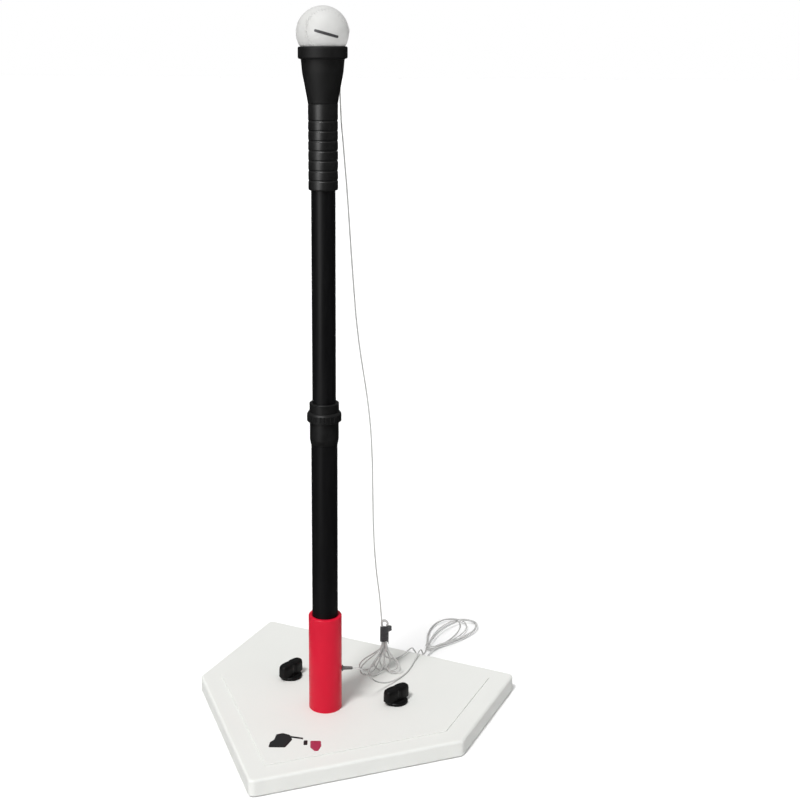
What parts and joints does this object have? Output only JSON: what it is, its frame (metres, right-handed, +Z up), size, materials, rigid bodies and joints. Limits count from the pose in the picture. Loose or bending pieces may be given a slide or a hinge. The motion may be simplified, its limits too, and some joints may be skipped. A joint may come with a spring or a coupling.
{
  "type": "batting tee",
  "caption": "Free-standing batting tee: home-plate base, telescopic twist-lock post, ribbed rubber neck and cup, and a ball on a tether with a tied hank and a loose coil.",
  "frame": {"origin": "on the floor under the post, at the middle of the base's outline", "axes": "+Z up along the post; +Y towards the plate's straight front edge, -Y towards its point; +X to the right seen from the point"},
  "size_m": [0.432, 0.6397, 1.0274],
  "materials": {
    "plate_white": "moulded, light satin",
    "plate_bottom": "moulded, matt",
    "screw_steel": "zinc plated",
    "foot_rubber": "matt",
    "socket_red": "moulded, satin",
    "tube_black": "satin powder coat",
    "plug_black": "moulded",
    "lock_black": "fine texture",
    "grip_nylon": "natural nylon",
    "cap_black": "fine texture",
    "seal_rubber": "matt",
    "neck_rubber": "satin",
    "cup_rubber": "matt",
    "ball_white": "soft vinyl",
    "ball_cork": "pressed cork",
    "grommet_black": "moulded",
    "cord_grey": "braided",
    "tie_black": "woven strap"
  },
  "bodies": {
    "root": {"plate_shell": "plate_white", "plate_bottom": "plate_bottom", "bottom_screws": "screw_steel", "rubber_feet": "foot_rubber", "socket_tube": "socket_red", "socket_screws": "screw_steel", "tether_anchor": "grommet_black", "lower_tube": "tube_black", "tube_foot_plug": "plug_black", "lock_sleeve": "lock_black", "grip_ring": "grip_nylon", "tether_drop": "cord_grey", "tether_hank": "cord_grey", "hank_tie": "tie_black", "tether_link": "cord_grey", "tether_coil": "cord_grey", "tether_tail": "cord_grey"},
    "lock_collar": {"lock_nut": "lock_black"},
    "upper_post": {"upper_tube": "tube_black", "guide_bush": "grip_nylon", "stop_ring": "grip_nylon", "ribbed_neck": "neck_rubber", "ball_cup": "cup_rubber"},
    "ball": {"ball_skin": "ball_white", "ball_core": "ball_cork", "cord_grommet": "grommet_black", "tether_top": "cord_grey"},
    "cap_left": {"filler_cap_left": "cap_black", "cap_seal_left": "seal_rubber"},
    "cap_right": {"filler_cap_right": "cap_black", "cap_seal_right": "seal_rubber"}
  },
  "joints": [
    {"name": "height_slide", "type": "slide", "parent": "root", "child": "upper_post", "axis": [0, 0, 1], "range_m": [-0.285, 0.045]},
    {"name": "collar_turn", "type": "hinge", "parent": "root", "child": "lock_collar", "pos_m": [0, 0, 0.475], "axis": [0, 0, 1], "range_deg": [0, 120]},
    {"name": "ball_lift", "type": "slide", "parent": "upper_post", "child": "ball", "axis": [0, 0, 1], "range_m": [0, 0.08]},
    {"name": "cap_left_turn", "type": "hinge", "parent": "root", "child": "cap_left", "pos_m": [-0.0885, 0.057, 0.036], "axis": [0, 0, 1], "range_deg": [0, 540]},
    {"name": "cap_right_turn", "type": "hinge", "parent": "root", "child": "cap_right", "pos_m": [0.0885, 0.057, 0.036], "axis": [0, 0, 1], "range_deg": [0, 540]}
  ]
}
